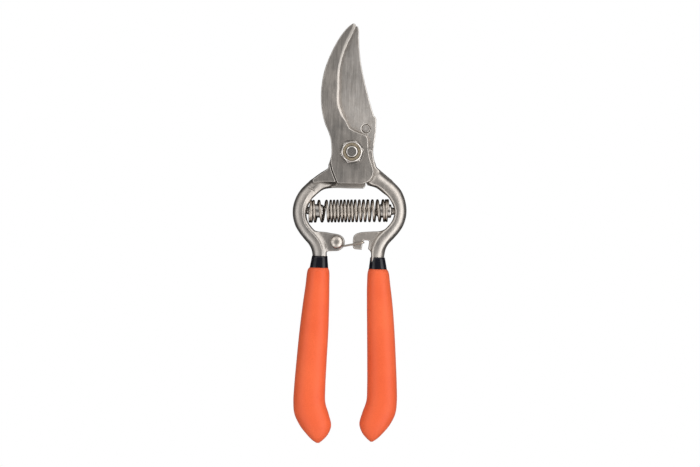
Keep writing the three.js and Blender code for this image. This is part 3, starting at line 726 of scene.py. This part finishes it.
def shank_field(grid, mirrored):
    """Shank and tang as one bar. One face is round towards the outside and has a crisp inner edge;
    the other is a crown that drops by a leaning wall to a low flange along the inner side.
    The left shank is the right one turned over, so each face shows once on the front."""
    stations = [(*row, flange) for row, flange in zip(SHANK_STATIONS, FLANGE_WIDTHS)]
    stations += [(outer, y, inner, y, SHEAR_Z, half, FLANGE_WIDTHS[-1])
                 for y, inner, outer, half in TANG_ROWS]
    stations = np.array(stations)
    if mirrored:
        stations[:, 0] += left_swell(stations[:, 1])
        stations[:, [0, 2]] = -stations[:, [0, 2]] - LEFT_SHIFT
        stations[:, [1, 3]] -= LEFT_DROP
        stations[:, 4] = 2 * SHEAR_Z - stations[:, 4]
        stations[:, 2] += FLANGE_REACH * np.exp(-((stations[:, 3] - SPRING_Y) / 6) ** 2)
    rails = smooth_line(stations, 1.2)
    outer, inner = rails[:, :2], rails[:, 2:4]
    plan = grid.plan(np.vstack([outer, inner[::-1]]))
    outer_side, inner_side = grid.reach(outer), grid.reach(inner)
    past_outer = (plan > 0) & (outer_side < inner_side)
    past_inner = (plan > 0) & ~past_outer
    outer_side = np.where(past_outer, outer_side, -outer_side)
    inner_side = np.where(past_inner, inner_side, -inner_side)
    place = along_line(grid, (outer + inner) / 2)
    index = np.arange(len(rails))
    middle_z, half, flange = (np.interp(place, index, rails[:, i])[..., None] for i in (4, 5, 6))
    rise = grid.z - middle_z
    if mirrored:
        rise = -rise
    up = np.abs(rise) - half
    smooth_face = np.maximum(soft_max(outer_side, up, FACE_ROUND), soft_max(inner_side, up, INNER_ROUND))
    wall = (flange + (up + 0.8) * WALL_LEAN + inner_side) * 0.88
    climb = FLANGE_TALL + FLANGE_CLIMB * np.minimum(-inner_side, np.minimum(flange + 0.4, 2.4))
    ledge = (np.abs(rise) - climb * half / SHANK_HALF) * 0.88
    upper = soft_min(soft_max(up, wall, 0.15), ledge, 0.3)
    flanged_face = np.maximum(soft_max(outer_side, upper, CROWN_ROUND),
                              soft_max(inner_side, upper, FLANGE_ROUND))
    side = smooth_step(rise, -0.8, 0.8)
    return np.maximum(side * smooth_face + (1 - side) * flanged_face, plan)


def hook_plate(grid):
    """Hook and its pivot plate: a chamfer along the edge the blade passes, wider towards the tip."""
    low = SHEAR_Z + LAP_GAP
    scale = jaw_taper(grid)
    height = (grid.z - low) / scale
    plan = grid.plan(trace(HOOK_OUTLINE))
    faces = np.maximum(-height, height - HOOK_THICK)
    plate = soft_max(plan, faces, HOOK_ROUND)
    edge = grid.reach(smooth_line([(-1.5, 12.0), *HOOK_EDGE, (0.45, 63.2)], 0.7))
    wide = 1.2 * smooth_step(grid.y, 14.0, 19.0) + 0.5 * smooth_step(grid.y, 45.0, 62.0) + 0.05
    chamfer = (1 - edge / wide - (HOOK_THICK - height) / (CHAMFER_DEPTH * wide)) * 0.49 * wide
    return soft_max(plate, chamfer, 0.12)


def blade_plate(grid):
    """Cutting blade and its pivot plate: flat in front, ground from behind to its edge."""
    high = SHEAR_Z - LAP_GAP
    height = (high - grid.z) / jaw_taper(grid)
    plan = grid.plan(trace(BLADE_OUTLINE))
    plate = soft_max(plan, np.maximum(-height, height - BLADE_THICK), BLADE_ROUND)
    edge = grid.reach(smooth_line([(-6.1, HEEL_Y), *BLADE_EDGE], 0.7))
    along = np.clip((grid.y - HEEL_Y) / JAW_LENGTH, 0, 1)
    wide = 0.5 + 4.2 * np.sin(math.pi * np.clip(0.16 + 0.8 * along, 0, 1)) ** 0.7
    fade = smooth_step(grid.y, 9.0, 15.0)
    bevel = (1 - edge / wide - (BLADE_THICK - height) / (BLADE_THICK - BLUNT)) * 2.4 - 3 * (1 - fade)
    return soft_max(plate, bevel, 0.2)


def forged_grid(low_x, high_x, drop, low_z, high_z):
    cell = 0.27
    fine = np.arange(-53.6 - drop, 65.0, cell)
    tang = np.linspace(TANG_END - 1.5 - drop, -53.6 - drop, 64)[:-1]
    return Grid(np.arange(low_x, high_x, cell), np.concatenate([tang, fine]),
                np.arange(low_z, high_z, cell))


def hook_half():
    grid = forged_grid(-16.8, 28.9, 0, 2.9, 13.7)
    ledge = grid.slab(trace(LEDGE_OUTLINE), SHEAR_Z + LAP_GAP, SHEAR_Z + 2.4, 0.8)
    web = grid.slab(trace(REAR_WEB_OUTLINE), SHEAR_Z - SHANK_HALF + 0.4, SHEAR_Z + 1, 0.8)
    ear = grid.slab(trace(RIGHT_EAR_OUTLINE), SHEAR_Z - EAR_HALF, SHEAR_Z + EAR_HALF, 0.7)
    shank = shank_field(grid, False)
    field = soft_min(soft_min(shank, web, 1.6), ledge, 1.0)
    field = soft_min(field, ear, 1.6)
    field = soft_min(field, hook_plate(grid), 0.7)
    room = np.maximum(grid.plan(trace(BLADE_OUTLINE)) - CLEAR, grid.between(-1, SHEAR_Z + LAP_GAP))
    swing = grid.rod(SWING_R, -1, SHEAR_Z + LAP_GAP)
    for cut in (room, swing, grid.rod(HOLE_R, -1, 20)):
        field = soft_max(field, -cut, CUT_ROUND)
    return surface_net(grid, field)


def blade_half():
    grid = forged_grid(-29.2, 12.6, LEFT_DROP, 2.9, 13.1)
    web = grid.slab(trace(WEB_OUTLINE), SHEAR_Z - LAP_GAP - 1, WEB_TOP)
    foot = grid.reach(np.array(WEB_FOOT))
    web = soft_max(web, ((grid.z - WEB_FOOT_Z) * 0.42 - foot) * 0.9, 0.4)
    ear = grid.slab(trace(LEFT_EAR_OUTLINE), SHEAR_Z - EAR_HALF, SHEAR_Z + EAR_HALF, 0.7)
    shank = shank_field(grid, True)
    crease = (grid.reach(np.array(CROWN_END)) - (grid.z - CREASE_Z) * 0.85) * 0.7
    field = soft_min(soft_max(shank, -crease, 0.4), ear, 1.2)
    field = soft_min(field, blade_plate(grid), 1.2)
    field = soft_min(field, web, 0.7)
    room = np.maximum(grid.plan(trace(HOOK_OUTLINE)) - CLEAR, grid.between(SHEAR_Z - LAP_GAP, 20))
    swing = grid.rod(SWING_R - 2, SHEAR_Z - LAP_GAP, 20)
    pin_hole = grid.rod(PIN_R + 0.15, SHEAR_Z - 3.2, 20, PIN_AT)
    rivet_hole = grid.rod(RIVET_R + 0.1, 0, 20, RIVET_AT)
    for cut in (room, swing):
        field = soft_max(field, -cut, LAP_ROUND)
    for cut in (grid.rod(HOLE_R, -1, 20), pin_hole, rivet_hole):
        field = soft_max(field, -cut, CUT_ROUND)
    return surface_net(grid, field)


# ---------- pivot ----------


def pivot_bolt():
    """Round head, shank and a real thread that runs out at the end."""
    head = rounded([(0.2, 0), (BOLT_HEAD_R - 0.8, 0), (BOLT_HEAD_R, 0.7), (BOLT_HEAD_R, BOLT_HEAD_Z),
                    (BOLT_R, BOLT_HEAD_Z), (BOLT_R, BOLT_HEAD_Z + 1)], 0.3)
    rings = turned(head, sides=72)
    angles = 2 * math.pi * np.arange(72) / 72
    for z in np.arange(BOLT_HEAD_Z + 1.2, BOLT_END_Z, 0.12):
        turn = (z / THREAD_PITCH - angles / (2 * math.pi)) % 1
        groove = THREAD_DEPTH * (1 - np.abs(2 * turn - 1)) if z > THREAD_FROM_Z else 0 * turn
        runout = max(0.0, z - (BOLT_END_Z - 0.36)) * 1.9
        radius = BOLT_R - np.maximum(groove, runout)
        rings.append(np.stack([radius * np.cos(angles), radius * np.sin(angles), np.full(72, z)], 1))
    rings += turned([(BOLT_R - 0.75, BOLT_END_Z), (1.2, BOLT_END_Z), (0.2, BOLT_END_Z - 0.05)], sides=72)
    return skin(rings)


def washer(low, outer, inner, thick, at=(0, 0)):
    profile = [(inner, low + thick / 2), (inner, low), (outer, low), (outer, low + thick),
               (inner, low + thick), (inner, low + thick / 2)]
    return skin(turned(rounded(profile, 0.18)[:-1], at, 72), closed=True)


def rear_washer():
    return washer(REAR_WASHER_Z, WASHER_R, HOLE_R, WASHER_THICK)


def front_washer():
    return washer(FRONT_WASHER_Z, WASHER_R, HOLE_R, WASHER_THICK)


def nut_insert():
    return washer(NUT_Z + NUT_HEX_TALL - 0.3, INSERT_R, BOLT_R + 0.1, INSERT_TALL)


def pivot_nut():
    """Hexagon with chamfered corners and a round collar that is rolled over the nylon ring."""
    across = np.arange(-6.3, 6.3, NUT_CELL)
    grid = Grid(across, across, np.arange(NUT_Z - 0.4, NUT_TOP + 0.4, NUT_CELL))
    hexagon = np.full(grid.x.shape, -1e9)
    for k in range(6):
        angle = NUT_TURN + math.pi / 3 * k
        hexagon = np.maximum(hexagon, grid.x * math.cos(angle) + grid.y * math.sin(angle) - NUT_FLATS / 2)
    radius = np.hypot(grid.x, grid.y)
    top = NUT_Z + NUT_HEX_TALL
    body = soft_max(hexagon, grid.between(NUT_Z, top), 0.15)
    cone = (radius - (NUT_FLATS / 2 - 0.1) + (grid.z - top) * 7.0) * 0.14
    foot = (radius - (NUT_FLATS / 2 + 0.1) - (grid.z - NUT_Z) * 1.7) * 0.5
    body = soft_max(soft_max(body, cone, 0.2), foot, 0.2)
    rim = (radius - NUT_COLLAR_R - 0.05 + (grid.z - NUT_TOP + 0.36) * 1.8) * 0.5
    collar = soft_max(soft_max(radius - NUT_COLLAR_R, grid.between(top - 1, NUT_TOP), 0.2), rim, 0.15)
    field = soft_min(body, collar, 0.15)
    bore = np.maximum(radius - BOLT_R - 0.1, grid.between(0, 30))
    pocket = np.maximum(radius - INSERT_R - 0.1, grid.between(top - 0.4, 30))
    for cut in (bore, pocket):
        field = soft_max(field, -cut, CUT_ROUND)
    return surface_net(grid, field)


def blade_pin():
    top = SHEAR_Z - LAP_GAP - 0.03
    low = top - PIN_TALL
    profile = [(0.05, low), (PIN_R, low), (PIN_R, top - 0.55), (PIN_R - 0.3, top), (0.05, top)]
    return skin(turned(rounded(profile, 0.12), PIN_AT, 56))


# ---------- spring and pegs ----------


def return_spring():
    """Open coils in the middle at an uneven pitch, and closed coils at both ends."""
    turns = np.arange(len(COIL_XS))
    steps = 30
    t = np.linspace(0, turns[-1], steps * turns[-1] + 1)
    x = smooth_line(np.stack([turns, COIL_XS], 1), 0.05)
    x = np.interp(t, x[:, 0], x[:, 1])
    angle = 2 * math.pi * t
    path = np.stack([x, SPRING_Y + SPRING_SLOPE * x - SPRING_MEAN_R * np.sin(angle),
                     SHEAR_Z + SPRING_MEAN_R * np.cos(angle)], 1)
    return skin(tube(path, SPRING_WIRE_R, 12, round_ends(len(path), 3)))


def spring_peg(side):
    """A peg riveted into the shank: flared foot, neck, round-nosed body inside the coils."""
    long = PEG_FACE_X - PEG_TIP_X
    profile = [(0.05, -PEG_TENON), (PEG_TENON_R, -PEG_TENON), (PEG_TENON_R, 0.1), (1.9, PEG_NECK * 0.55),
               (1.9, PEG_NECK), (PEG_R, PEG_NECK + 0.15), (PEG_R, long - 2.4), (PEG_R * 0.86, long - 0.9),
               (PEG_R * 0.5, long - 0.15), (0.05, long)]
    points, faces = skin(turned(rounded(profile, 0.5), sides=48))
    x = side * (PEG_FACE_X - points[:, 2])
    y = SPRING_Y + side * 0.4 + points[:, 0]
    z = SHEAR_Z + points[:, 1]
    points = np.stack([x, y, z], 1)
    return points, outward(points, faces)


# ---------- catch ----------


def catch_rivet():
    dome = WIRE_Z + 0.75
    back = SHEAR_Z - EAR_HALF - 0.1
    crown = [(RIVET_DOME_R * math.cos(a), dome + 0.15 + (RIVET_DOME_TALL - 0.15) * math.sin(a))
             for a in np.linspace(0, math.pi / 2, 14)[:-1]]
    profile = [(0.05, back - 1.3), (2.1, back - 1.3), (2.8, back - 0.5), (2.8, back), (RIVET_R, back),
               (RIVET_R, dome), (RIVET_DOME_R - 0.15, dome), *crown, (0.05, dome + RIVET_DOME_TALL)]
    return skin(turned(profile, RIVET_AT, 56))


def rivet_washer():
    return washer(SHEAR_Z + EAR_HALF + 0.05, 3.2, RIVET_R + 0.1, 0.3, RIVET_AT)


def catch_wire():
    """An eye around the rivet, a straight reach, and a tip bent down into the notch."""
    x, y = RIVET_AT
    eye = [WIRE_TURN - math.pi / 2 - WIRE_EYE_ARC * (1 - t) for t in np.linspace(0, 1, 40)]
    path = [(x + WIRE_EYE_R * math.cos(a), y + WIRE_EYE_R * math.sin(a), WIRE_Z) for a in eye]
    start = np.array(path[-1])
    way = np.array((math.cos(WIRE_TURN), math.sin(WIRE_TURN), 0))
    down = np.array((0, 0, -1))
    path += [tuple(start + way * s) for s in np.linspace(0, WIRE_STRAIGHT, 26)[1:]]
    corner = start + way * WIRE_STRAIGHT
    for a in np.linspace(0, math.pi / 2, 9)[1:]:
        path.append(tuple(corner + (way * math.sin(a) + down * (1 - math.cos(a))) * WIRE_BEND_R))
    last = np.array(path[-1])
    path += [tuple(last + down * s) for s in np.linspace(0, WIRE_TIP, 6)[1:]]
    return skin(tube(path, WIRE_R, 16, round_ends(len(path), 3)))


# ---------- handles ----------


def bar_rings(rows, steps, power, grow=0.0, sides=48):
    """Rings of a rounded bar through rows of y, inner x, outer x and half depth."""
    grown = [(y, inner - grow, outer + grow, half + grow) for y, inner, outer, half in rows]
    line = smooth_line(grown, steps)
    angles = 2 * math.pi * np.arange(sides) / sides
    across = np.sign(np.cos(angles)) * np.abs(np.cos(angles)) ** (2 / power)
    upward = np.sign(np.sin(angles)) * np.abs(np.sin(angles)) ** (2 / power)
    return [np.stack([(inner + outer) / 2 + (outer - inner) / 2 * across, np.full(sides, y),
                      SHEAR_Z + half * upward], 1) for y, inner, outer, half in line]


def fuller(rows, side):
    """The left handle's rows are wider on their outer side; the right one's stay as they are."""
    if side > 0:
        return rows
    return [(y, inner, outer + left_swell(y), half) for y, inner, outer, half in rows]


def grip_rows(side):
    """The left grip's coat is thicker on its inner side, and a little thinner at its outer heel."""
    if side > 0:
        return GRIP_ROWS
    return [(y, inner - 0.75 * smooth_step(-y, 62, 90), outer - 0.3 * smooth_step(-y, 125, 140), half)
            for y, inner, outer, half in GRIP_ROWS]


def sleeve_rows(top, end, grow=0.0):
    last = TANG_ROWS[-1]
    tail = (end, last[1] + 0.4, last[2] - 0.8, last[3] - 0.4)
    rows = [(top, *TANG_ROWS[0][1:]), *TANG_ROWS[1:]]
    if end < TANG_END:
        rows.append(tail)
    out = []
    for y, inner, outer, half in rows:
        share = min(max((SLEEVE_TOP - y) / (SLEEVE_TOP - GRIP_TOP), 0), 1)
        thick = SLEEVE_LIP + (SLEEVE_THICK - SLEEVE_LIP) * share + grow
        out.append((y, inner - thick, outer + thick, half + thick))
    return out


def shell(outside, inside, side):
    """One closed skin: down the outside and back up the inside, with both ends closed."""
    size = len(outside[0])
    points = np.vstack([*outside, *inside, outside[-1].mean(0), inside[-1].mean(0)])
    tip_out, tip_in = len(points) - 2, len(points) - 1
    rows = [range(r * size, (r + 1) * size) for r in range(len(outside) + len(inside))]
    outer_rows, inner_rows = rows[: len(outside)], rows[len(outside):]
    bands = list(zip(outer_rows, outer_rows[1:]))
    bands += list(zip(inner_rows[::-1], inner_rows[-2::-1]))
    bands.append((inner_rows[0], outer_rows[0]))
    low_out, low_in = outer_rows[-1], inner_rows[-1]
    faces = []
    for i in range(size):
        j = (i + 1) % size
        faces += [(here[i], here[j], there[j], there[i]) for here, there in bands]
        faces += [(low_out[i], low_out[j], tip_out), (low_in[j], low_in[i], tip_in)]
    if side < 0:
        points = turn_over(points)
    return points, outward(points, faces)


def sleeve(side):
    drop = LEFT_DROP if side < 0 else 0
    top = SLEEVE_TOP + drop
    outside = bar_rings(fuller(sleeve_rows(top, SLEEVE_END), side), 1.0, 2.6)
    core = [(top, *TANG_ROWS[0][1:]), *TANG_ROWS[1:]]
    inside = bar_rings(fuller(core, side), 4.0, 2.6, NEST_GAP)
    return shell(outside, inside, side)


def grip(side):
    drop = LEFT_DROP if side < 0 else 0
    rows = [(row[0] + drop, *row[1:]) if i < 2 else row for i, row in enumerate(grip_rows(side))]
    outside = bar_rings(fuller(rows, side), 1.0, 2.3, sides=64)
    core = sleeve_rows(GRIP_TOP + drop + 0.02, SLEEVE_END - NEST_GAP, NEST_GAP)
    inside = bar_rings(fuller(core, side), 4.0, 2.6, sides=64)
    return shell(outside, inside, side)


# ---------- assembly ----------

blade_steel = steel("blade_half_steel", 0.43, 0.055, 0.4, (1, 0.06, 1), 0.25, jaw=0.66, web=0.24)
hook_steel = steel("hook_half_steel", 0.46, 0.06, 0.38, (1, 0.06, 1), -0.2)
# The front washer is painted far darker than the other hardware: a painted shadow ring around the nut.
washer_painted_shadow = steel("washer_steel_painted_shadow", 0.3, 0.06, 0.42, (1, 1, 1))
small_steel = steel("hardware_steel", 0.5, 0.05, 0.3, (1, 1, 1), edge=0.3, hollow_dark=0.7)
nut_steel = steel("nut_plating", 0.72, 0.05, 0.24, (1, 1, 1), edge=0.15, hollow_dark=0.8)
wire_steel = steel("drawn_wire", 0.42, 0.09, 0.3, (0.2, 1, 1), edge=0.0, hollow_dark=0.0)
dome_steel = steel("polished_dome", 0.5, 0.07, 0.33, (1, 1, 1), edge=0.0, hollow_dark=0.4)
orange = {word: vinyl_matte(f"{word}_orange_vinyl", turn) for word, turn in (("left", 0.0), ("right", 1.3))}
black = vinyl_gloss("black_vinyl")

make("blade_half_forging", *blade_half(), blade_steel, "blade_half", "blade_side")
make("hook_half_forging", *hook_half(), hook_steel, "hook_half", "hook_side")
make("blade_pin_turned", *blade_pin(), blade_steel, "blade_pin", "blade_side")
make("pivot_bolt_turned", *pivot_bolt(), small_steel, "pivot_bolt", "blade_side")
make("rear_washer_round", *rear_washer(), small_steel, "rear_washer", "blade_side")
# front washer in the darker steel that paints a shadow ring around the nut
make("front_washer_round", *front_washer(), washer_painted_shadow, "front_washer", "blade_side")
make("pivot_nut_forged", *pivot_nut(), nut_steel, "pivot_nut", "blade_side")
make("nut_insert_ring", *nut_insert(), nylon("insert_nylon"), "nut_insert", "blade_side")
make("catch_rivet_dome", *catch_rivet(), dome_steel, "catch_rivet", "blade_side")
make("rivet_washer_round", *rivet_washer(), small_steel, "rivet_washer", "blade_side")
make("catch_wire_bent", *catch_wire(), wire_steel, "catch_wire", "catch")

spring = make("return_spring_coil", *return_spring(), wire_steel, "return_spring")
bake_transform(spring)

for word, side, body in (("left", -1, "blade_side"), ("right", 1, "hook_side")):
    make(f"{word}_spring_peg_turned", *spring_peg(side), small_steel, f"{word}_spring_peg", body)
    make(f"{word}_sleeve_coat", *sleeve(side), black, f"{word}_sleeve", body)
    make(f"{word}_grip_vinyl", *grip(side), orange[word], f"{word}_grip", body)

# ---------- stage ----------

VIEW_AT = Vector((0.16, -40.6, 8.0)) * MM     # what the picture's middle looks at
VIEW_WIDE = 0.35          # metres across the picture
VIEW_TILT = math.radians(1.5)
LENS = 135
FILM = 36
TENT_TOP = 0.22           # how bright the tent is right above, around, and at the horizon
TENT_SIDE = 0.9
TENT_LOW = 0.07
LAMP_OUT = 0.8            # how far the lamps stand from the middle, and how high, in metres
LAMP_HIGH = 0.66
FLOOR_HALF = 2.0
FLOOR_DROP = 0.0002       # the floor lies just under the tool


def area_light(name, at, size, power):
    light = bpy.data.lights.new(name, "AREA")
    light.shape = "RECTANGLE"
    light.size, light.size_y = size
    light.energy = power
    lamp = bpy.data.objects.new(name, light)
    bpy.context.scene.collection.objects.link(lamp)
    lamp.location = at
    lamp.rotation_euler = (VIEW_AT - Vector(at)).to_track_quat("-Z", "Y").to_euler()
    lamp.visible_camera = False


def on_arc(turn):
    """A place about a metre from the tool, 50 degrees down from the zenith."""
    turn = math.radians(turn)
    return LAMP_OUT * math.cos(turn), VIEW_AT.y + LAMP_OUT * math.sin(turn), LAMP_HIGH


def tent():
    """A light tent as the world: grey right above, bright around it, dark at the horizon."""
    world = bpy.data.worlds.new("tent")
    world.use_nodes = True
    tree = world.node_tree

    def node(kind, links, **settings):
        made = tree.nodes.new(kind)
        for key, setting in settings.items():
            setattr(made, key, setting)
        for key, value in links.items():
            if isinstance(value, bpy.types.NodeSocket):
                tree.links.new(value, made.inputs[key])
            else:
                made.inputs[key].default_value = value
        return made.outputs

    def ramp(value, *limits, **settings):
        return node("ShaderNodeMapRange", dict(enumerate((value, *limits))), **settings)[0]

    def product(a, b):
        return node("ShaderNodeMath", {0: a, 1: b}, operation="MULTIPLY")[0]

    x, _, z = node("ShaderNodeSeparateXYZ", {0: node("ShaderNodeTexCoord", {})["Generated"]})
    high = ramp(z, 0.78, 0.97, TENT_SIDE, TENT_TOP, interpolation_type="SMOOTHSTEP")
    low = ramp(z, -0.02, 0.3, TENT_LOW, 1.0, interpolation_type="SMOOTHSTEP")
    right = ramp(x, -0.8, 0.8, 0.8, 1.2)
    back = tree.nodes["Background"]
    back.inputs["Color"].default_value = (1.0, 0.985, 0.97, 1)
    tree.links.new(product(product(high, low), right), back.inputs["Strength"])
    return world


def white_paper():
    """Paper that stays pure white in the picture but reflects only dimly in the metal."""
    paper = Paint("white_paper")
    fibre = paper.map(paper.noise(900, 3), 0.3, 0.7, 0.07, 0.09)
    paper.finish(Base_Color=fibre, Roughness=0.9, Specular_IOR_Level=0.0)
    glow = paper.node("ShaderNodeEmission", {"Color": (1, 1, 1, 1), "Strength": 1.0})
    ray = paper.node("ShaderNodeLightPath").outputs["Is Camera Ray"]
    both = paper.node("ShaderNodeMixShader", {0: ray, 1: paper.shader.outputs[0], 2: glow.outputs[0]})
    paper.plug(paper.tree.nodes["Material Output"].inputs["Surface"], both.outputs[0])
    return paper.material


def stage():
    """The floor, the light tent, and soft lamps: the stronger ones on the right."""
    mesh = bpy.data.meshes.new("floor")
    corners = [(x * FLOOR_HALF, y * FLOOR_HALF, 0) for x, y in ((-1, -1), (1, -1), (1, 1), (-1, 1))]
    mesh.from_pydata(corners, [], [(0, 1, 2, 3)])
    mesh.materials.append(white_paper())
    floor = bpy.data.objects.new("floor", mesh)
    floor.location.z = -FLOOR_DROP
    bpy.context.scene.collection.objects.link(floor)

    bpy.context.scene.world = tent()
    for word, turn, power in (("low", -45, 2.1), ("middle", 0, 1.9), ("high", 45, 1.8)):
        area_light(f"key_right_{word}", on_arc(turn), (0.6, 0.72), power)
        area_light(f"fill_left_{word}", on_arc(180 - turn), (0.38, 0.72), power / 2)


def camera():
    """Straight above the tool and rolled a little, far off so that the view is nearly flat."""
    data = bpy.data.cameras.new("camera")
    data.lens = LENS
    data.sensor_width = FILM
    data.clip_end = 10
    eye = bpy.data.objects.new("camera", data)
    bpy.context.scene.collection.objects.link(eye)
    above = VIEW_AT + Vector((0, 0, VIEW_WIDE * LENS / FILM))
    eye.matrix_world = Matrix.Translation(above) @ Matrix.Rotation(VIEW_TILT, 4, "Z")
    bpy.context.scene.camera = eye


stage()
camera()
bpy.context.scene.view_settings.view_transform = "Standard"
